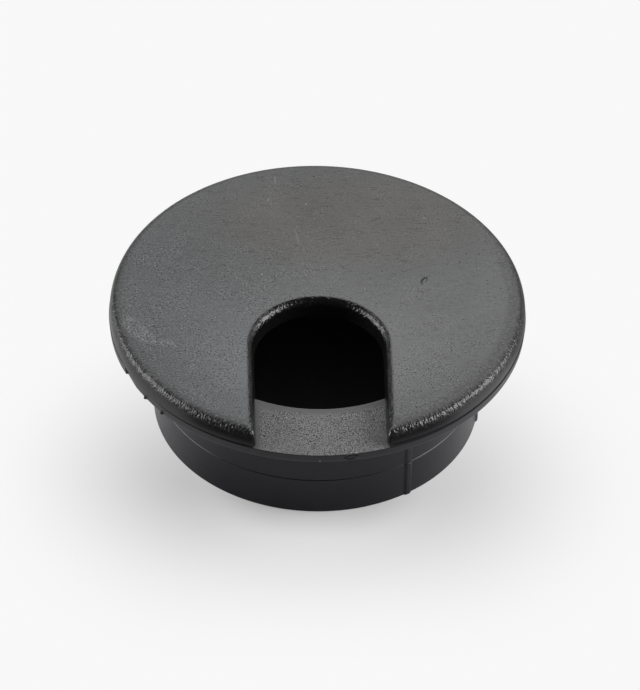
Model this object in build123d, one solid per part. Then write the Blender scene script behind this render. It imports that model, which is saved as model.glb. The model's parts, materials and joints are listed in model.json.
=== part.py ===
from build123d import *
import os
from math import hypot, isclose

# Cable grommet: a flanged liner for a round hole in a desk top, and the slotted cap that snaps into it.
# Millimetres and degrees. Z is the grommet's axis, z = 0 is the desk top under the flange,
# and the cable slot opens toward -Y.

# Liner: the flange lies on the desk, the barrel hangs in the hole.
FLANGE_D = 47.6
FLANGE_T = 1.15
FLANGE_EDGE_R = 0.15
BARREL_D = 37.4
BARREL_LENGTH = 12.45
BARREL_WALL = 1.6
BARREL_EDGE_R = 0.15

# Snap lip: an inward ring at the top of the bore, with a sloping underside.
LIP_OVERHANG = 0.9
LIP_DEPTH = 3.0

# Crush ribs on the barrel, in opposite pairs, each angle taken from +X.
RIB_ANGLES = (-57.3, -10.7)
RIB_HEIGHT = 0.2
RIB_BASE_W = 1.0
RIB_CREST_W = 0.5
RIB_ROOT = 0.3

# Cap: a flat disc with a rounded rim, flush with the flange but for a small setback.
CAP_T = 2.3
CAP_SETBACK = 0.05
RIM_ROUND_ACROSS = 1.7
RIM_ROUND_HEIGHT = 1.25
RIM_GAP = 0.25
RIM_GAP_DEPTH = 2.2

# Cable slot: a round-ended slot from the rim to just short of the axis.
SLOT_W = 14.9
SLOT_END_TO_AXIS = 0.5
SLOT_LIP_R = 1.0

# Skirt: the ring under the cap that turns in the snap lip, and the bead that holds it there.
SKIRT_WALL = 1.4
SKIRT_CLEARANCE = 0.06
BEAD_HEIGHT = 0.35
BEAD_CLEARANCE = 0.1
BEAD_BAND = 0.5
BEAD_LEAD_IN = 0.75

# Sizes that follow from those above.
FLANGE_R = FLANGE_D / 2
BARREL_R = BARREL_D / 2
BORE_R = BARREL_R - BARREL_WALL
LIP_R = BORE_R - LIP_OVERHANG
LIP_BOTTOM_Z = FLANGE_T - LIP_DEPTH
CAP_R = FLANGE_R - CAP_SETBACK
CAP_TOP_Z = FLANGE_T + CAP_T
RIM_BOTTOM_Z = FLANGE_T + RIM_GAP
SKIRT_R = LIP_R - SKIRT_CLEARANCE
SLOT_CENTRE_Y = -SLOT_END_TO_AXIS - SLOT_W / 2
BEAD_TOP_Z = LIP_BOTTOM_Z - BEAD_CLEARANCE
BEAD_R = SKIRT_R + BEAD_HEIGHT
BEAD_FULL_Z = BEAD_TOP_Z - BEAD_HEIGHT
SKIRT_BOTTOM_Z = BEAD_FULL_Z - BEAD_BAND - BEAD_LEAD_IN


def turned(profile):
    """Revolve a face drawn as (radius, height) about the grommet's axis."""
    return revolve(Plane.XZ * profile, axis=Axis.Z)


def round_corners(profile, corners, radius):
    """Round the profile's vertices that lie at the given corners."""
    chosen = [profile.vertices().sort_by_distance((r, z, 0))[0] for r, z in corners]
    return fillet(chosen, radius)


def make_rib():
    """One crush rib along +X, from the flange down to the barrel's lower edge."""
    section = make_face(Polyline(
        (BARREL_R - RIB_ROOT, -RIB_BASE_W / 2),
        (BARREL_R, -RIB_BASE_W / 2),
        (BARREL_R + RIB_HEIGHT, -RIB_CREST_W / 2),
        (BARREL_R + RIB_HEIGHT, RIB_CREST_W / 2),
        (BARREL_R, RIB_BASE_W / 2),
        (BARREL_R - RIB_ROOT, RIB_BASE_W / 2),
        close=True,
    ))
    return extrude(section, amount=BARREL_EDGE_R - BARREL_LENGTH, dir=(0, 0, 1))


def make_liner():
    """Barrel, flange and snap lip as one moulding, with the crush ribs."""
    flange_corners = ((FLANGE_R, FLANGE_T), (FLANGE_R, 0))
    barrel_corners = ((BARREL_R, -BARREL_LENGTH), (BORE_R, -BARREL_LENGTH))
    profile = make_face(Polyline(
        (LIP_R, FLANGE_T),
        *flange_corners,
        (BARREL_R, 0),
        *barrel_corners,
        (BORE_R, LIP_BOTTOM_Z - LIP_OVERHANG),
        (LIP_R, LIP_BOTTOM_Z),
        close=True,
    ))
    profile = round_corners(profile, flange_corners, FLANGE_EDGE_R)
    profile = round_corners(profile, barrel_corners, BARREL_EDGE_R)
    liner = turned(profile)
    for angle in RIB_ANGLES:
        for side in (angle, angle + 180):
            liner += Rot(Z=side) * make_rib()
    return liner


def make_disc():
    """The cap's plate before it is slotted: flat top, rounded rim, relieved under the rim."""
    relief_r = CAP_R - RIM_GAP_DEPTH
    flat_r = CAP_R - RIM_ROUND_ACROSS
    wall_top_z = CAP_TOP_Z - RIM_ROUND_HEIGHT
    sides = Polyline(
        (flat_r, CAP_TOP_Z),
        (0, CAP_TOP_Z),
        (0, FLANGE_T),
        (relief_r, FLANGE_T),
        (relief_r, RIM_BOTTOM_Z),
        (CAP_R, RIM_BOTTOM_Z),
        (CAP_R, wall_top_z),
    )
    rim = EllipticalCenterArc(
        (flat_r, wall_top_z), RIM_ROUND_ACROSS, RIM_ROUND_HEIGHT, start_angle=0, arc_size=90
    )
    return turned(make_face([*sides.edges(), rim]))


def make_skirt():
    """The full ring under the plate, with its snap bead and lead-in."""
    inner_r = SKIRT_R - SKIRT_WALL
    profile = make_face(Polyline(
        (inner_r, FLANGE_T),
        (SKIRT_R, FLANGE_T),
        (SKIRT_R, BEAD_TOP_Z),
        (BEAD_R, BEAD_FULL_Z),
        (BEAD_R, BEAD_FULL_Z - BEAD_BAND),
        (BEAD_R - BEAD_LEAD_IN, SKIRT_BOTTOM_Z),
        (inner_r, SKIRT_BOTTOM_Z),
        close=True,
    ))
    return turned(profile)


def slot_prism():
    """The slot's clear space, through the cap and its skirt and out past the rim."""
    reach = FLANGE_D + SLOT_CENTRE_Y
    outline = Pos(0, SLOT_CENTRE_Y) * Circle(SLOT_W / 2)
    outline += Pos(0, SLOT_CENTRE_Y - reach / 2) * Rectangle(SLOT_W, reach)
    return Pos(0, 0, SKIRT_BOTTOM_Z) * extrude(outline, amount=CAP_TOP_Z - SKIRT_BOTTOM_Z)


def on_slot_wall(edge):
    """True where the edge's middle lies on the slot's wall."""
    middle = edge @ 0.5
    from_spine = hypot(middle.X, max(middle.Y - SLOT_CENTRE_Y, 0))
    return isclose(from_spine, SLOT_W / 2, abs_tol=1e-4)


def slotted_slab():
    """A slab wider than the cap, with the slot cut and its upper lip rounded."""
    slab = Box(FLANGE_D, FLANGE_D, CAP_T, align=(Align.CENTER, Align.CENTER, Align.MIN))
    slab = Pos(0, 0, FLANGE_T) * slab - slot_prism()
    upper_edges = slab.edges().group_by(Axis.Z)[-1]
    return fillet(upper_edges.filter_by(on_slot_wall), SLOT_LIP_R)


def make_cap():
    """Plate and skirt as one moulding, open along the cable slot."""
    plate = make_disc() & slotted_slab()
    return plate + (make_skirt() - slot_prism())


os.makedirs("parts", exist_ok=True)
export_step(make_liner(), "parts/liner.step")
export_step(make_cap(), "parts/cap.step")
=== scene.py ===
import json
from math import atan2, cos, degrees, exp, hypot, pi, radians, sin, tan

import bmesh
import bpy
from mathutils import Matrix, Vector


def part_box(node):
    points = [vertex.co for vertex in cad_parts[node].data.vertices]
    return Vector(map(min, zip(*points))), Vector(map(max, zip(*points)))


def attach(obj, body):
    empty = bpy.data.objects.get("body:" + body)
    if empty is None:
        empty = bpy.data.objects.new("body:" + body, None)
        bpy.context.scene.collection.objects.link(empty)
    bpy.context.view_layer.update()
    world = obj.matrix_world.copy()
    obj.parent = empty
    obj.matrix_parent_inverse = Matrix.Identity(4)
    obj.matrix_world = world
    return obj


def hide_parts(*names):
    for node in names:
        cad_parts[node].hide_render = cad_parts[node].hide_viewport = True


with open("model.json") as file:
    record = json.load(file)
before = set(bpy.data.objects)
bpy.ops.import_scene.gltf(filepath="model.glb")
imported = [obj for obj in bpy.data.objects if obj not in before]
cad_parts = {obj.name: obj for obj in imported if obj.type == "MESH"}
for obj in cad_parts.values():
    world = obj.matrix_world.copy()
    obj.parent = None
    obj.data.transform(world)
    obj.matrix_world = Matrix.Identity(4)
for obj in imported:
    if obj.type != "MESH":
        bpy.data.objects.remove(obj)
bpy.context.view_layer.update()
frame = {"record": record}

# Millimetre, in the metres of the frame.
MM = 0.001

# Sizes read from the frame. The origin is on the barrel's axis, under the flange.
FLANGE_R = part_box("liner")[1].x
FLANGE_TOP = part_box("liner")[1].z
FLOOR_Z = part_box("liner")[0].z
CAP_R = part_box("cap")[1].x
CAP_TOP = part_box("cap")[1].z
SKIRT_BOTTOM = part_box("cap")[0].z
BARREL_R = next(m["dims"]["r_mm"] for m in frame["record"]["mounts"] if m["name"] == "barrel") * MM

# Liner: wall, snap lip, edges, and the parting line round the barrel.
BARREL_WALL = 1.6 * MM
LIP_OVERHANG = 0.9 * MM
LIP_DEPTH = 3.0 * MM
BORE_R = BARREL_R - BARREL_WALL
LIP_R = BORE_R - LIP_OVERHANG
LIP_BOTTOM = FLANGE_TOP - LIP_DEPTH
EDGE_R = 0.15 * MM
EDGE_STEPS = 3
FLANGE_EDGE_R = 0.06 * MM
FLANGE_EDGE_STEPS = 2
FLANGE_TAPER = 0.10 * MM
PARTING_HEIGHT = 4.9 * MM
PARTING_W = 0.16 * MM
PARTING_DEPTH = 0.06 * MM

# Crush ribs on the barrel, at degrees from +X.
RIB_ANGLES = (-57.3, -10.7, 122.7, 169.3)
RIB_HEIGHT = 0.2 * MM
RIB_BASE_W = 1.0 * MM
RIB_CREST_W = 0.5 * MM

# Cap: rim, slot, the rounded corners of the slot's mouth, skirt and snap bead.
RIM_ACROSS = 1.7 * MM
RIM_FULLNESS = 0.78
RIM_GAP = 0.25 * MM
RIM_GAP_DEPTH = 2.2 * MM
RIM_BOTTOM = FLANGE_TOP + RIM_GAP
FLAT_R = CAP_R - RIM_ACROSS
SLOT_HALF_W = 7.45 * MM
SLOT_END_Y = -0.5 * MM
SLOT_CENTRE_Y = SLOT_END_Y - SLOT_HALF_W
SLOT_LIP_R = 1.0 * MM
SLOT_DRAFT = 0.12 * MM
CORNER_R = 0.32 * MM
CORNER_HALF_ANGLE = 36
CORNER_ARC = 85
CORNER_STEPS = 5
SKIRT_CLEARANCE = 0.06 * MM
SKIRT_R = LIP_R - SKIRT_CLEARANCE
SKIRT_WALL = 1.4 * MM
BEAD_CLEARANCE = 0.1 * MM
BEAD_TOP = LIP_BOTTOM - BEAD_CLEARANCE
BEAD_HEIGHT = 0.35 * MM
BEAD_BAND = 0.5 * MM
BEAD_LEAD_IN = 0.75 * MM

# How far the cap's rim stands off its even gap, at degrees from the slot's middle:
# it gapes at the slot's right corner and sits low on the left.
RIM_GAPE = 0.20 * MM
RIM_GAPE_AT = 20
RIM_GAPE_SPAN = 14
RIM_SAG = 0.235 * MM
RIM_SAG_AT = -78
RIM_SAG_SPAN = 50

# The flange's left edge, at degrees from the slot's middle:
# rubbed back a little, with a notch and two nubs of flash.
WORN_DEPTH = 0.12 * MM
WORN_AT = -59
WORN_SPAN = 9
NOTCH_DEPTH = 0.22 * MM
NOTCH_FROM = -67.3
NOTCH_TO = -61.5
NUB_ANGLES = (-56.3, -48.7)
NUB_REACH = 0.28 * MM
NUB_HALF_W = 0.7
NUB_H = 0.45 * MM

# Steps of the turned shapes and of their roundings, and how close points count as one.
LINER_STEPS = 1440
CAP_STEPS = 720
RIM_STEPS = 20
LIP_STEPS = 8
ARCH_STEPS = CAP_STEPS // 8
SMOOTH_ANGLE = radians(35)
SAME_RING = 1e-6
SAME_POINT = 1e-7

# Colours of the plastic. The cap's top is cooler at the left and warmer in an oval area behind.
TOP_PLAIN = (0.192, 0.195, 0.196, 1.0)
TOP_COOL = (0.184, 0.194, 0.200, 1.0)
TOP_WARM = (0.198, 0.194, 0.186, 1.0)
COOL_REACH = 24 * MM
WARM_AREA = ((4.0, 13.0), 38 * MM, 19 * MM, 0)
STRIP_GREY = 0.235
CAP_BLACK = 0.010
RIM_PALE = 0.045
LINER_BLACK = (0.0145, 0.0140, 0.0190, 1.0)
DEEP_BLACK = 0.004
SPECK_PALE = 0.25

# Tone of the level tops, as a share of their colour, and what is added or taken: a painted sheen lighter
# toward the front right, clouds, drag marks, and the top lighter round the slot and darker toward its
# front edge.
TOP_TONE = 0.45
STRIP_TONE = 0.44
FRONT_SHEEN_TONE = 0.19
CLOUD_TONE = 0.16
DRAG_TONE = 0.16
SLOT_TONE = 0.10
AWAY_TONE = 0.09
FRONT_EDGE_TONE = 0.125
FRONT_SHEEN_REACH = 18 * MM
GRAIN_REACH = 14 * MM

# Eroded texture: fine on the level tops, coarse where the cap turns over, none below GRAIN_END.
FINE_GRAIN = 0.19 * MM
FINE_HEIGHT = 0.04 * MM
STRIP_GRAIN = 0.125 * MM
TOP_CONTRAST = 11.0
STRIP_CONTRAST = 40.0
FLECK_DEPTH = 0.70
PATCH = 3.0 * MM
CLOUD = 6.0 * MM
DRAG_W = 0.16 * MM
DRAG_STRETCH = (0.14, 1, 1)
PIT_SPACING = 0.75 * MM
PIT_R = 0.13 * MM
PIT_DEPTH = 0.03 * MM
TOP_PIT_SHARE = 0.10
STRIP_PIT_SHARE = 0.6
COARSE_GRAIN = 0.25 * MM
COARSE_HEIGHT = 0.115 * MM
GRAIN_END = 2.45 * MM
GRAIN_BLEND = 0.25 * MM
BORDER_W = 1.2 * MM

# The liner's smooth surface, and where the flange's top is smooth or black: smooth next to the bore
# and beside the slot's left wall, and black toward its outer edge outside the slot: painted shade in the
# gap under the cap's rim.
WAVE_W = 3.0 * MM
WAVE_HEIGHT = 0.004 * MM
CLOUDED_SHEEN = 1.2 * MM
BORE_BORDER = (0.45 * MM, 1.35 * MM)
WALL_BORDER = (0.3 * MM, 0.9 * MM)
GAP_SHADE_EDGE = (0.5 * MM, 1.0 * MM)
WINDOW_BLEND = 0.3 * MM

# Roughness of the moulded plastic, and what the grain, the level tops and the marks add to it.
PLAIN_ROUGH = 0.30
GRAIN_ROUGH = 0.14
TOP_ROUGH = 0.28
STRIP_ROUGH = 0.37
MARK_ROUGH = 0.20
LIP_POLISH = 0.20
LINER_IOR = 1.48
CAP_IOR = 1.54

# Marks on the cap's top: (x, y) in millimetres, then length, width and turn from +X
# where they are not round.
SPECK_D = 0.22 * MM
SPECKS = (
    (-21.26, -9.25), (-14.16, -11.29), (-15.13, -3.07), (-5.41, 16.89),
    (-1.02, 16.17), (12.57, 13.65), (-7.64, 5.08), (-6.29, 4.04),
)
# The nick's relief is painted: an oval of painted shade and, inside it, a bar of painted glint.
NICK_SHADE = ((12.22, 2.92), 1.6 * MM, 0.75 * MM, 56)
NICK_GLINT = ((12.26, 2.80), 1.0 * MM, 0.24 * MM, 60)
SCRATCH = ((6.96, 13.42), 2.2 * MM, 0.22 * MM, 34)
SCUFFS = (
    ((-4.54, 20.42), 1.9 * MM, 0.30 * MM, 90),
    ((-2.17, 10.50), 3.8 * MM, 0.25 * MM, -80),
)
ABRASIONS = (
    ((-20.5, -5.4), 7.0 * MM, 2.6 * MM, -54),
    ((-17.4, -7.6), 4.4 * MM, 1.4 * MM, -12),
)
ABRASION_GRAIN = 0.17 * MM

# Marks on the flange's front: (x, z) in millimetres, then length, width and turn.
DENT = ((3.35, 0.50), 1.9 * MM, 1.1 * MM, 0)
DENT_FLOOR = ((3.20, 0.68), 1.2 * MM, 0.9 * MM, 0)
DENT_HEIGHT = 0.08 * MM
CHIP = ((-0.19, 0.25), 0.22 * MM, 0.22 * MM, 0)
FRONT_FROM = (20 * MM, 21 * MM)

# Camera, from the photograph: angles in degrees, picture height in pixels.
VIEW_AZIMUTH = -1.9
VIEW_ELEVATION = 42.9
VIEW_DISTANCE = 0.7616
VIEW_ROLL = 1.1
VIEW_AIM = (0.37 * MM, 0, -3.89 * MM)
FOCAL_PIXELS = 6590
PICTURE_PIXELS = 690
SENSOR_MM = 36

# Floor: how white it is, its painted shade inside the barrel, how far out the grommet's shadow fades, and
# where gloss sees it dark, a painted dark reflection.
FLOOR_HALF_W = 20.0
FLOOR_WHITE = 0.72
FLOOR_INSIDE_SHADE = 0.40
BACKGROUND_WHITE = 0.94
GLOSS_WHITE = 0.68
WHITE_REACH = 70 * MM
WHITE_END = 250 * MM
SHADOW_LIFT = 0.45
SHADOW_Y = -14.5 * MM
SHADOW_HALF_W = 13 * MM
SHADOW_END = 30 * MM
CONTACT_DARK = 0.25
CONTACT_REACH = 5 * MM
CONTACT_SIDE = (4 * MM, 14 * MM)
FOOT_REACH = 8.5 * MM
FOOT_DARK = 0.40
FRONT_DARK = 0.13
FRONT_BLEND = (-4 * MM, 8 * MM)
DARK_GLOSS_FROM = 36 * MM
DARK_GLOSS_BLEND = 4 * MM
DARK_GLOSS_BLACK = 0.02
SIDE_FROM = (22 * MM, 33 * MM)
RIGHT_DARK = 0.6
LEFT_DARK = 0.2

# Lamps, LAMP_DISTANCE away: azimuth and elevation, width and height in metres, radiance.
LAMP_DISTANCE = 1.0
LAMPS = {
    "back_softbox": (178, 46, 1.10, 0.65, 2.9),
    "left_softbox": (-97, 19, 0.75, 0.60, 5.2),
    "right_softbox": (85, 26, 0.65, 0.60, 8.2),
}
WORLD_DIM = 0.03


class Socket:
    """One value in a node tree; arithmetic on it adds Math nodes."""

    def __init__(self, nodes, socket):
        self.nodes = nodes
        self.socket = socket

    def math(self, operation, *values):
        return self.nodes.node("ShaderNodeMath", {"operation": operation}, dict(enumerate(values)))

    def __add__(self, other):
        return self.math("ADD", self, other)

    def __sub__(self, other):
        return self.math("SUBTRACT", self, other)

    def __mul__(self, other):
        return self.math("MULTIPLY", self, other)

    def __pow__(self, other):
        return self.math("POWER", self, other)

    def __rsub__(self, other):
        return self.math("SUBTRACT", other, self)

    def __abs__(self):
        return self.math("ABSOLUTE", self)

    __radd__ = __add__
    __rmul__ = __mul__

    def larger(self, other):
        return self.math("MAXIMUM", self, other)

    def ramp(self, low, high):
        """0 below low, 1 above high, smooth between."""
        settings = {"interpolation_type": "SMOOTHSTEP"}
        return self.nodes.node("ShaderNodeMapRange", settings, {0: self, 1: low, 2: high, 3: 0.0, 4: 1.0})


class Nodes:
    """A material's or the world's node tree, on the piece's own coordinates."""

    def __init__(self, owner):
        owner.use_nodes = True
        self.owner = owner
        self.tree = owner.node_tree
        self.tree.nodes.clear()

    def node(self, kind, settings=None, inputs=None, output=0):
        node = self.tree.nodes.new(kind)
        for name, value in (settings or {}).items():
            setattr(node, name, value)
        for name, value in (inputs or {}).items():
            if isinstance(value, Socket):
                self.tree.links.new(value.socket, node.inputs[name])
            else:
                node.inputs[name].default_value = value
        return Socket(self, node.outputs[output]) if node.outputs else None

    def place(self):
        return self.node("ShaderNodeTexCoord", output="Object")

    def axes(self, vector):
        """The three parts of a vector."""
        return [self.node("ShaderNodeSeparateXYZ", None, {0: vector}, part) for part in range(3)]

    def facing_up(self):
        """How far the surface faces up: 1 on a level top, 0 on a wall."""
        return self.axes(self.node("ShaderNodeNewGeometry", output="Normal"))[2]

    def noise(self, vector, size, detail=2.0, roughness=0.5):
        """Cloudy noise whose lumps are about size metres across."""
        inputs = {"Vector": vector, "Scale": 1 / size, "Detail": detail, "Roughness": roughness}
        return self.node("ShaderNodeTexNoise", None, inputs)

    def stretched(self, vector, scale):
        return self.node("ShaderNodeMapping", None, {"Vector": vector, "Scale": scale})

    def spots(self, vector, spacing, radius, share):
        """Round spots scattered about spacing apart, in a share of the places they could be."""
        kind = "ShaderNodeTexVoronoi"
        settings = {"voronoi_dimensions": "2D"}
        inputs = {"Vector": vector, "Scale": 1 / spacing}
        apart = self.node(kind, settings, inputs, "Distance")
        chance, size, _ = self.axes(self.node(kind, settings, inputs, "Color"))
        near = 1 - apart.math("DIVIDE", apart, (0.4 + 0.6 * size) * (radius / spacing))
        return near.ramp(0.0, 0.6) * chance.ramp(1 - share, 1.01 - share)

    def blot(self, place, centre, length, width, turn=0):
        """1 inside a small oval mark, 0 outside; its centre is in millimetres."""
        x, y, _ = self.axes(place)
        right, back = x - centre[0] * MM, y - centre[1] * MM
        c, s = cos(radians(turn)), sin(radians(turn))
        along = (right * c + back * s) * (2 / length)
        across = (back * c - right * s) * (2 / width)
        return 1 - (along * along + across * across).ramp(0.3, 1.0)

    def mix(self, factor, first, second):
        """A colour between two colours."""
        return self.node("ShaderNodeMix", {"data_type": "RGBA"}, {0: factor, 6: first, 7: second}, 2)

    def bump(self, height):
        """The normal over a relief given in metres."""
        return self.node("ShaderNodeBump", None, {"Strength": 1.0, "Distance": 1.0, "Height": height})

    def seen(self):
        """1 for what is seen straight or through something, and 1 for what is seen in gloss."""
        rays = ("Is Camera Ray", "Is Transmission Ray", "Is Glossy Ray")
        camera, through, glossy = (self.node("ShaderNodeLightPath", output=ray) for ray in rays)
        return camera.larger(through), glossy

    def surface(self, inputs):
        shader = self.node("ShaderNodeBsdfPrincipled", None, inputs)
        self.node("ShaderNodeOutputMaterial", None, {"Surface": shader})
        return self.owner


def grey(level):
    return (level, level, level, 1.0)


def top_texture(nodes, place, size, contrast, pit_share):
    """The level tops' eroded texture, stronger at the front: its height, tone and pits; the tone also
    carries a painted sheen, lighter toward the front right.
    """
    x, y, _ = nodes.axes(place)
    # Painted sheen: the tone is lighter toward the front right.
    front_sheen = 1 - (y - 0.4 * x).ramp(-FRONT_SHEEN_REACH, FRONT_SHEEN_REACH)
    patches = nodes.noise(place, PATCH, 2.0).ramp(0.35, 0.65)
    strength = 0.42 + 0.80 * (1 - (y + 0.5 * x).ramp(-GRAIN_REACH, GRAIN_REACH))
    strength = strength * (0.4 + 0.6 * patches)
    clouds = nodes.noise(place, CLOUD, 2.0) - 0.5
    grain = nodes.noise(place, size, 1.0, 0.5) - 0.5
    flecks = strength * (0.10 * grain + 0.06 * grain.ramp(0.14, 0.26))
    drag = nodes.noise(nodes.stretched(place, DRAG_STRETCH), DRAG_W, 2.0).ramp(0.56, 0.70)
    spots = nodes.spots(place, PIT_SPACING, PIT_R, pit_share)
    pits = (0.8 * spots).larger(FLECK_DEPTH * strength * (0 - grain).ramp(0.11, 0.22))
    height = strength * grain * FINE_HEIGHT - spots * PIT_DEPTH
    tone = TOP_TONE + FRONT_SHEEN_TONE * front_sheen + CLOUD_TONE * clouds + contrast * flecks - DRAG_TONE * drag
    return height, tone, pits


def satin_black():
    """The liner's smooth moulded black, eroded and grey on the flange's top."""
    nodes = Nodes(bpy.data.materials.new("satin_black"))
    place = nodes.place()
    x, y, z = nodes.axes(place)
    r = (x * x + y * y) ** 0.5
    flat = nodes.facing_up().ramp(0.90, 0.99)
    window = 1 - abs(x).ramp(SLOT_HALF_W, SLOT_HALF_W + WINDOW_BLEND)
    # The flange's top is grey within the slot's width and away from its outer edge; the outer edge outside
    # the slot is black, painted shade in the gap under the cap's rim.
    outside_gap_shade = window.larger((FLANGE_R - r).ramp(*GAP_SHADE_EDGE))
    grained = (r - LIP_R).ramp(*BORE_BORDER) * abs(x + SLOT_HALF_W).ramp(*WALL_BORDER)
    height, tone, pits = top_texture(nodes, place, STRIP_GRAIN, STRIP_CONTRAST, STRIP_PIT_SHARE)
    top = nodes.mix(STRIP_TONE + grained * (tone - STRIP_TONE), grey(0.0), grey(STRIP_GREY))
    top = nodes.mix(grained * pits, top, grey(DEEP_BLACK))
    colour = nodes.mix(flat * outside_gap_shade, LINER_BLACK, top)
    upright = nodes.node("ShaderNodeCombineXYZ", None, {0: x, 1: z})
    front = (0 - y).ramp(*FRONT_FROM)
    colour = nodes.mix(front * nodes.blot(upright, *CHIP), colour, grey(SPECK_PALE))
    waves = nodes.noise(place, WAVE_W, 2.0) - 0.5
    dent = front * (nodes.blot(upright, *DENT) - nodes.blot(upright, *DENT_FLOOR))
    height = flat * grained * height + (1 - flat) * (waves * WAVE_HEIGHT + dent * DENT_HEIGHT)
    rough = PLAIN_ROUGH + 0.10 * nodes.noise(place, CLOUDED_SHEEN, 4.0, 0.6)
    rough = rough + flat * (STRIP_ROUGH + MARK_ROUGH * grained * pits)
    return nodes.surface({
        "Base Color": colour, "Roughness": rough, "IOR": LINER_IOR, "Normal": nodes.bump(height),
    })


def grained_black():
    """The cap's black: eroded fine on top and coarse round the rim and lip, smooth lower down."""
    nodes = Nodes(bpy.data.materials.new("grained_black"))
    place = nodes.place()
    x, y, z = nodes.axes(place)
    r = (x * x + y * y) ** 0.5
    up = nodes.facing_up()

    # The coarse grain runs round the rim and level along the slot's lip.
    rim = r.ramp(FLAT_R - RIM_ACROSS / 2, FLAT_R)
    around = x.math("ARCTAN2", x, y) * CAP_R
    wrapped = nodes.node("ShaderNodeCombineXYZ", None, {0: around, 1: (r - z) * 0.45})
    rim_grain = nodes.noise(wrapped, COARSE_GRAIN, 1.0, 0.4) - 0.5
    lip_grain = nodes.noise(place, COARSE_GRAIN, 1.0, 0.4) - 0.5
    coarse = rim * rim_grain + (1 - rim) * 0.8 * lip_grain

    # The flat top ends in a dappled border, widest at the front right.
    border = r.ramp(FLAT_R - BORDER_W, FLAT_R) * (1 - y.ramp(2 * MM, 16 * MM))
    border = border * (0.016 + 0.010 * x.ramp(0.0, 15 * MM))
    flat = (up + 0.06 * coarse - border).ramp(0.95, 0.995)
    eroded = z.ramp(GRAIN_END - GRAIN_BLEND, GRAIN_END + GRAIN_BLEND)
    height, tone, pits = top_texture(nodes, place, FINE_GRAIN, TOP_CONTRAST, TOP_PIT_SHARE)
    height = eroded * (flat * height + (1 - flat) * coarse * COARSE_HEIGHT)

    # Dark and pale marks. The nick is painted: a dark oval of painted shade and a pale bar of painted
    # glint along it.
    dark = 0.8 * nodes.blot(place, *NICK_SHADE) + 0.45 * nodes.blot(place, *SCRATCH)
    dark = flat * dark.larger(pits)
    pale = 0.6 * nodes.blot(place, *NICK_GLINT)
    for speck in SPECKS:
        pale = pale + nodes.blot(place, speck, SPECK_D, SPECK_D)
    for scuff in SCUFFS:
        pale = pale + 0.25 * nodes.blot(place, *scuff)
    chafed = sum(nodes.blot(place, *abrasion) for abrasion in ABRASIONS)
    chafed = chafed * nodes.noise(place, ABRASION_GRAIN, 1.0).ramp(0.50, 0.68)
    pale = pale.math("MINIMUM", pale + 0.8 * chafed, 1.0)

    # The top is lighter round the slot and darker toward its front edge.
    from_slot = (x * x + (y - SLOT_CENTRE_Y) ** 2) ** 0.5
    front_edge = r.ramp(15 * MM, 22 * MM) * (1 - y.ramp(-16 * MM, 2 * MM))
    tone = tone + SLOT_TONE - AWAY_TONE * from_slot.ramp(8 * MM, 17 * MM) - FRONT_EDGE_TONE * front_edge
    tint = nodes.mix((1.5 * x + y).ramp(-COOL_REACH, 0.0), TOP_COOL, TOP_PLAIN)
    tint = nodes.mix(nodes.blot(place, *WARM_AREA), tint, TOP_WARM)
    top = nodes.mix(tone, grey(0.0), tint)

    # Off the rim, on the slot's walls and lip and under the cap, the black is deeper: painted shade.
    colour = nodes.mix(rim, grey(DEEP_BLACK), grey(CAP_BLACK))
    crests = eroded * (0.15 + 0.85 * rim) * coarse.ramp(-0.05, 0.25)
    colour = nodes.mix(crests, colour, grey(RIM_PALE))
    # The top's grey runs at part strength onto the rim's upturned shoulder: partly the eroded grey, partly
    # a painted sheen where the rim turns over.
    shoulder = 0.35 * rim * up.ramp(0.80, 0.97)
    colour = nodes.mix(flat.larger(shoulder), colour, top)
    colour = nodes.mix(dark, colour, grey(DEEP_BLACK))
    colour = nodes.mix(pale, colour, grey(SPECK_PALE))

    # The slot's lip is rubbed to a gloss.
    turned_down = rim * (1 - up.ramp(0.80, 0.98))
    lip = (1 - rim) * (1 - flat)
    rough = PLAIN_ROUGH + GRAIN_ROUGH * eroded * (1 - turned_down) - LIP_POLISH * eroded * lip
    rough = rough + TOP_ROUGH * flat + MARK_ROUGH * dark
    return nodes.surface({
        "Base Color": colour, "Roughness": rough, "IOR": CAP_IOR, "Normal": nodes.bump(height),
    })


def turned(profile, steps):
    """A solid from a closed outline of (radius, height) points, spun about the axis."""
    bm = bmesh.new()
    outline = [bm.verts.new((r, 0, z)) for r, z in profile]
    for start, end in zip(outline, outline[1:] + outline[:1]):
        if hypot(start.co.x, end.co.x) > 0:
            bm.edges.new((start, end))
    bmesh.ops.spin(
        bm, geom=bm.verts[:] + bm.edges[:], cent=(0, 0, 0), axis=(0, 0, 1), dvec=(0, 0, 0),
        angle=2 * pi, steps=steps, use_merge=True, use_duplicate=False,
    )
    bmesh.ops.remove_doubles(bm, verts=bm.verts, dist=SAME_POINT)
    bmesh.ops.recalc_face_normals(bm, faces=bm.faces)
    return bm


def in_scene(name, data):
    """An object in the scene, at the origin."""
    obj = bpy.data.objects.new(name, data)
    bpy.context.scene.collection.objects.link(obj)
    return obj


def mesh_object(name, bm):
    """The finished bmesh as an object of that name."""
    mesh = bpy.data.meshes.new(name)
    bm.to_mesh(mesh)
    bm.free()
    return in_scene(name, mesh)


def shade_smooth(mesh):
    """Smooth shading that breaks at the edges."""
    mesh.polygons.foreach_set("use_smooth", [True] * len(mesh.polygons))
    mesh.set_sharp_from_angle(angle=SMOOTH_ANGLE)


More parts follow.
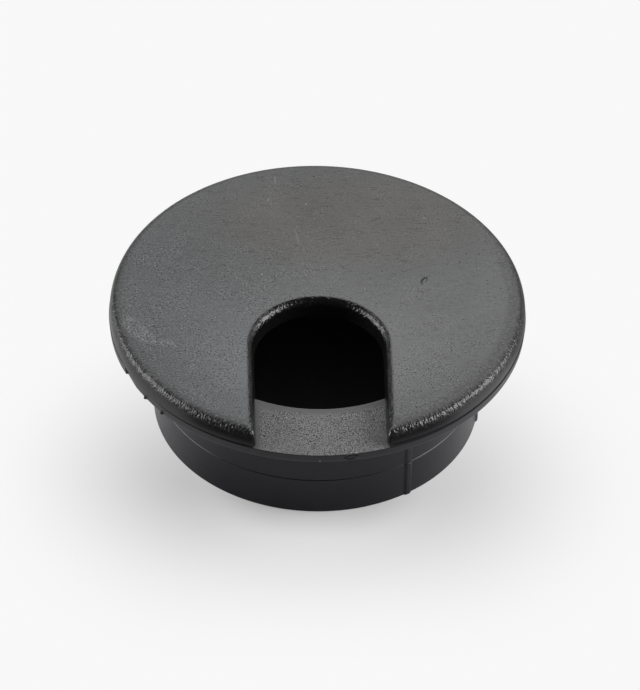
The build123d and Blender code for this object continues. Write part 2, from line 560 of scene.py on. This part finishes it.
def bevel_rings(bm, corners, radius, segments):
    """Round the turned edges at the given (radius, height) corners."""
    def at_corner(vert):
        r = hypot(vert.co.x, vert.co.y)
        return any(hypot(r - cr, vert.co.z - cz) < SAME_RING for cr, cz in corners)

    def on_ring(edge):
        start, end = edge.verts
        level = abs(start.co.z - end.co.z) < SAME_POINT
        return level and at_corner(start) and at_corner(end)

    bmesh.ops.bevel(
        bm, geom=[edge for edge in bm.edges if on_ring(edge)], offset=radius, offset_type="OFFSET",
        segments=segments, profile=0.5, affect="EDGES", material=-1,
    )


def rib_rise(angle):
    """How far the barrel's wall stands out at an angle, over the nearest crush rib."""
    rise = 0.0
    for rib in RIB_ANGLES:
        off = abs((angle - radians(rib) + pi) % (2 * pi) - pi) * BARREL_R
        slope = (RIB_BASE_W / 2 - off) / (RIB_BASE_W / 2 - RIB_CREST_W / 2)
        rise = max(rise, RIB_HEIGHT * min(1.0, max(0.0, slope)))
    return rise


def from_slot_middle(point):
    """Degrees from the slot's middle to a point, positive to the right."""
    return degrees(atan2(point.x, -point.y))


def edge_reach(angle):
    """How far the rubbed-back and notched edge of the flange stands out, so mostly back."""
    reach = -WORN_DEPTH * exp(-(((angle - WORN_AT) / WORN_SPAN) ** 4))
    if NOTCH_FROM < angle < NOTCH_TO:
        reach -= NOTCH_DEPTH * (NOTCH_TO - angle) / (NOTCH_TO - NOTCH_FROM)
    return reach


def nub_reach(angle):
    """How far the nubs of flash stand out."""
    return max(0.0, *(NUB_REACH * (1 - abs(angle - nub) / NUB_HALF_W) for nub in NUB_ANGLES))


def make_liner():
    """Barrel, flange and snap lip, with ribs, parting line and the marks of the flange's edge."""
    parting_z = FLOOR_Z + PARTING_HEIGHT
    flange_corners = ((FLANGE_R, FLANGE_TOP), (FLANGE_R, 0.0))
    barrel_corners = ((BARREL_R, FLOOR_Z), (BORE_R, FLOOR_Z))
    bm = turned((
        (LIP_R, FLANGE_TOP),
        flange_corners[0],
        (FLANGE_R, FLANGE_TOP - 2 * FLANGE_EDGE_R),
        (FLANGE_R, NUB_H),
        flange_corners[1],
        (BARREL_R, 0.0),
        (BARREL_R, parting_z + PARTING_W / 2),
        (BARREL_R - PARTING_DEPTH, parting_z),
        (BARREL_R, parting_z - PARTING_W / 2),
        *barrel_corners,
        (BORE_R, LIP_BOTTOM - (BORE_R - LIP_R)),
        (LIP_R, LIP_BOTTOM),
    ), LINER_STEPS)
    bevel_rings(bm, flange_corners[:1], FLANGE_EDGE_R, FLANGE_EDGE_STEPS)
    bevel_rings(bm, flange_corners[1:] + barrel_corners, EDGE_R, EDGE_STEPS)
    for vert in bm.verts:
        r = hypot(vert.co.x, vert.co.y)
        if abs(r - BARREL_R) < 2 * PARTING_DEPTH and vert.co.z < EDGE_R:
            rise = rib_rise(atan2(vert.co.y, vert.co.x))
            vert.co.xy *= (r + rise) / r
        elif r > FLANGE_R - 2 * EDGE_R:
            angle = from_slot_middle(vert.co)
            rise = edge_reach(angle) - FLANGE_TAPER * (1 - vert.co.z / FLANGE_TOP)
            if vert.co.z < NUB_H - EDGE_R / 2:
                rise += nub_reach(angle)
            vert.co.xy *= (r + rise) / r
    obj = mesh_object("liner_moulding", bm)
    obj.data.materials.append(satin_black())
    shade_smooth(obj.data)
    return obj


def rim_profile():
    """The rim's rounding as (radius, height) points from the flat top outward and down."""
    fuller = CAP_R - RIM_ACROSS * (1 - RIM_FULLNESS)
    lower = CAP_TOP - (CAP_TOP - RIM_BOTTOM) * (1 - RIM_FULLNESS)
    points = []
    for step in range(RIM_STEPS + 1):
        t = step / RIM_STEPS
        start, early, late, end = (1 - t) ** 3, 3 * t * (1 - t) ** 2, 3 * t * t * (1 - t), t ** 3
        r = FLAT_R * start + fuller * early + CAP_R * (late + end)
        z = CAP_TOP * (start + early) + lower * late + RIM_BOTTOM * end
        points.append((r, z))
    return points


def rim_radius(z):
    """The rim's radius at a height, between the points of its profile."""
    points = rim_profile()
    if z >= CAP_TOP:
        return points[0][0]
    for (r_above, z_above), (r_below, z_below) in zip(points, points[1:]):
        if z >= z_below:
            return r_below + (r_above - r_below) * (z - z_below) / (z_above - z_below)
    return CAP_R


def rim_lift(angle):
    """How far the rim's lower edge is off its even gap, at degrees from the slot's middle."""
    gape = RIM_GAPE * exp(-(((angle - RIM_GAPE_AT) / RIM_GAPE_SPAN) ** 2))
    sag = RIM_SAG * exp(-(((angle - RIM_SAG_AT) / RIM_SAG_SPAN) ** 4))
    return gape - sag


def slot_outline(spread, z):
    """The slot's outline at a height, spread by the lip, with its front corners rounded onto the rim."""
    half = SLOT_HALF_W + spread
    rim_y = -(rim_radius(z) ** 2 - half ** 2) ** 0.5
    turn_y = rim_y + CORNER_R / tan(radians(CORNER_HALF_ANGLE))
    outside = half + 3 * CORNER_R
    right = [(outside, -2 * CAP_R), (outside, turn_y - 2 * CORNER_R)]
    for step in range(CORNER_STEPS, -1, -1):
        angle = radians(CORNER_ARC) * step / CORNER_STEPS
        right.append((half + CORNER_R * (1 - cos(angle)), turn_y - CORNER_R * sin(angle)))
    for step in range(ARCH_STEPS + 1):
        angle = pi / 2 * step / ARCH_STEPS
        right.append((half * cos(angle), SLOT_CENTRE_Y + half * sin(angle)))
    return right + [(-x, y) for x, y in reversed(right[:-1])]


def extrude_face(bm, face, keep):
    """Extrude one face, and keep the old one only where it closes the shape."""
    grown = bmesh.ops.extrude_face_region(bm, geom=[face])["geom"]
    if not keep:
        bmesh.ops.delete(bm, geom=[face], context="FACES_ONLY")
    return next(g for g in grown if isinstance(g, bmesh.types.BMFace))


def slot_cutter():
    """The slot's clear space as a closed mesh, flared at the top into the rounded lip."""
    lip_z = CAP_TOP - SLOT_LIP_R
    levels = [(0.0, SKIRT_BOTTOM - MM), (-SLOT_DRAFT, FLANGE_TOP), (0.0, lip_z)]
    for step in range(1, LIP_STEPS + 1):
        angle = pi / 2 * step / LIP_STEPS
        levels.append((SLOT_LIP_R * (1 - cos(angle)), lip_z + SLOT_LIP_R * sin(angle)))
    levels.append((SLOT_LIP_R, CAP_TOP + MM))
    bm = bmesh.new()
    floor = bm.faces.new([bm.verts.new((x, y, levels[0][1])) for x, y in slot_outline(*levels[0])])
    top = floor
    for spread, z in levels[1:]:
        top = extrude_face(bm, top, keep=top is floor)
        for vert, (x, y) in zip(top.verts, slot_outline(spread, z)):
            vert.co = (x, y, z)
    bmesh.ops.recalc_face_normals(bm, faces=bm.faces)
    return mesh_object("slot_cutter", bm)


def make_cap():
    """Plate, rim, skirt and bead, with the slot cut through them."""
    bead_r = SKIRT_R + BEAD_HEIGHT
    bead_full = BEAD_TOP - BEAD_HEIGHT
    bm = turned((
        (0.0, FLANGE_TOP),
        (0.0, CAP_TOP),
        *rim_profile(),
        (CAP_R - RIM_GAP_DEPTH, RIM_BOTTOM),
        (CAP_R - RIM_GAP_DEPTH, FLANGE_TOP),
        (SKIRT_R, FLANGE_TOP),
        (SKIRT_R, BEAD_TOP),
        (bead_r, bead_full),
        (bead_r, bead_full - BEAD_BAND),
        (bead_r - BEAD_LEAD_IN, SKIRT_BOTTOM),
        (SKIRT_R - SKIRT_WALL, SKIRT_BOTTOM),
        (SKIRT_R - SKIRT_WALL, FLANGE_TOP),
    ), CAP_STEPS)
    for vert in bm.verts:
        if hypot(vert.co.x, vert.co.y) > FLAT_R and vert.co.z > RIM_BOTTOM - EDGE_R / 2:
            down = (CAP_TOP - vert.co.z) / (CAP_TOP - RIM_BOTTOM)
            vert.co.z += down * rim_lift(from_slot_middle(vert.co))
    obj = mesh_object("cap_moulding", bm)
    obj.data.materials.append(grained_black())
    shade_smooth(obj.data)
    cutter = slot_cutter()
    cut = obj.modifiers.new("slot", "BOOLEAN")
    cut.operation = "DIFFERENCE"
    cut.solver = "EXACT"
    cut.object = cutter
    graph = bpy.context.evaluated_depsgraph_get()
    mesh = bpy.data.meshes.new_from_object(obj.evaluated_get(graph))
    obj.modifiers.clear()
    obj.data = mesh
    bpy.data.objects.remove(cutter)
    shade_smooth(mesh)
    return obj


def pale_floor():
    """White floor that keeps the grommet's shadow, with painted shade inside the barrel; in gloss it is
    darker before and beside the grommet, a painted dark reflection.
    """
    nodes = Nodes(bpy.data.materials.new("pale_floor"))
    x, y, _ = nodes.axes(nodes.place())
    r = (x * x + y * y) ** 0.5
    aside = abs(x)
    straight, glossy = nodes.seen()
    # Inside the barrel the floor is darker: painted shade under the cap.
    outside = r.ramp(BARREL_R - MM, BARREL_R)
    colour = nodes.mix(outside, grey(FLOOR_INSIDE_SHADE), grey(FLOOR_WHITE))
    lit = nodes.node("ShaderNodeBsdfDiffuse", None, {"Color": colour})

    # Plain white away from the shadow, which lies before the barrel and is darkest next to it. Where the
    # white fades, along an oval before the barrel and further at the front foot, is painted; there the
    # lamps' own shadow shows, so the shadow's shape and the contact shadow at the foot are painted.
    beyond = 1.1 * (aside - SHADOW_HALF_W).larger(0.0)
    ahead = y - SHADOW_Y
    open_floor = ((beyond * beyond + ahead * ahead) ** 0.5).ramp(0.0, SHADOW_END)
    shadow = SHADOW_LIFT + (1 - SHADOW_LIFT) * open_floor
    middle = 1 - aside.ramp(*CONTACT_SIDE)
    contact = (1 - r.ramp(BARREL_R, BARREL_R + CONTACT_REACH)) * middle
    clear = aside.ramp(10 * MM, 22 * MM).larger(open_floor)
    near = 1 - r.ramp(WHITE_REACH, WHITE_END)
    white = outside * (shadow - CONTACT_DARK * contact) * (straight + glossy * GLOSS_WHITE * clear * near)
    bright = nodes.node("ShaderNodeEmission", None, {"Color": grey(BACKGROUND_WHITE)})
    floor = nodes.node("ShaderNodeMixShader", None, {0: white, 1: lit, 2: bright})

    # Dark in gloss alone, a painted dark reflection: a sector before the grommet, its foot, and the sides.
    foot = (1 - r.ramp(BARREL_R, BARREL_R + FOOT_REACH)) * middle
    far = r.ramp(DARK_GLOSS_FROM, DARK_GLOSS_FROM + DARK_GLOSS_BLEND)
    front = FRONT_DARK + FOOT_DARK * foot + (1 - FRONT_DARK) * far
    front = front * (0 - y - 0.6 * aside).ramp(*FRONT_BLEND)
    sides = RIGHT_DARK * x.ramp(*SIDE_FROM) * y.ramp(*FRONT_BLEND)
    sides = sides + LEFT_DARK * (0 - x).ramp(*SIDE_FROM)
    dark_gloss = nodes.node("ShaderNodeBsdfDiffuse", None, {"Color": grey(DARK_GLOSS_BLACK)})
    floor = nodes.node("ShaderNodeMixShader", None, {0: glossy * front.larger(sides), 1: floor, 2: dark_gloss})
    nodes.node("ShaderNodeOutputMaterial", None, {"Surface": floor})
    return nodes.owner


def make_floor():
    bm = bmesh.new()
    bmesh.ops.create_grid(bm, x_segments=1, y_segments=1, size=FLOOR_HALF_W)
    bmesh.ops.translate(bm, verts=bm.verts, vec=(0, 0, FLOOR_Z))
    obj = mesh_object("floor", bm)
    obj.data.materials.append(pale_floor())


def direction(azimuth, elevation):
    """Unit vector from the grommet; azimuth from the slot's side, positive to the right."""
    a = radians(azimuth)
    e = radians(elevation)
    return Vector((sin(a) * cos(e), -cos(a) * cos(e), sin(e)))


def softbox(name, azimuth, elevation, width, height, radiance):
    """A soft lamp that looks at the grommet."""
    lamp = bpy.data.lights.new(name, "AREA")
    lamp.shape = "RECTANGLE"
    lamp.size = width
    lamp.size_y = height
    lamp.energy = radiance * pi * width * height
    away = direction(azimuth, elevation)
    obj = in_scene(name, lamp)
    obj.location = away * LAMP_DISTANCE
    obj.rotation_euler = away.to_track_quat("Z", "Y").to_euler()
    obj.visible_camera = False


def make_light():
    """The lamps, and a dim world that is white to the eye and along the back in gloss."""
    for name, settings in LAMPS.items():
        softbox(name, *settings)
    nodes = Nodes(bpy.data.worlds.new("studio"))
    right, back, up = nodes.axes(nodes.node("ShaderNodeTexCoord", output="Generated"))
    straight, glossy = nodes.seen()
    horizon = back.ramp(0.0, 0.4) * (1 - up.ramp(0.08, 0.30)) * (0.2 + 0.8 * right.ramp(-0.3, 0.3))
    white = straight + glossy * GLOSS_WHITE * horizon
    colour = nodes.mix(white, grey(WORLD_DIM), grey(BACKGROUND_WHITE))
    sky = nodes.node("ShaderNodeBackground", None, {"Color": colour})
    nodes.node("ShaderNodeOutputWorld", None, {"Surface": sky})
    bpy.context.scene.world = nodes.owner


def make_camera():
    data = bpy.data.cameras.new("camera")
    data.sensor_width = SENSOR_MM
    data.lens = FOCAL_PIXELS * SENSOR_MM / PICTURE_PIXELS
    data.clip_start = 0.01
    data.clip_end = 100
    camera = in_scene("camera", data)
    camera.location = Vector((0, 0, FLOOR_Z)) + direction(VIEW_AZIMUTH, VIEW_ELEVATION) * VIEW_DISTANCE
    look = Vector(VIEW_AIM) - camera.location
    turn = look.to_track_quat("-Z", "Y").to_matrix() @ Matrix.Rotation(radians(VIEW_ROLL), 3, "Z")
    camera.rotation_euler = turn.to_euler()
    bpy.context.scene.camera = camera


liner = make_liner()
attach(liner, "liner")
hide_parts("liner")

cap = make_cap()
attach(cap, "cap")
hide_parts("cap")

make_floor()
make_light()
make_camera()
bpy.context.scene.view_settings.view_transform = "Standard"
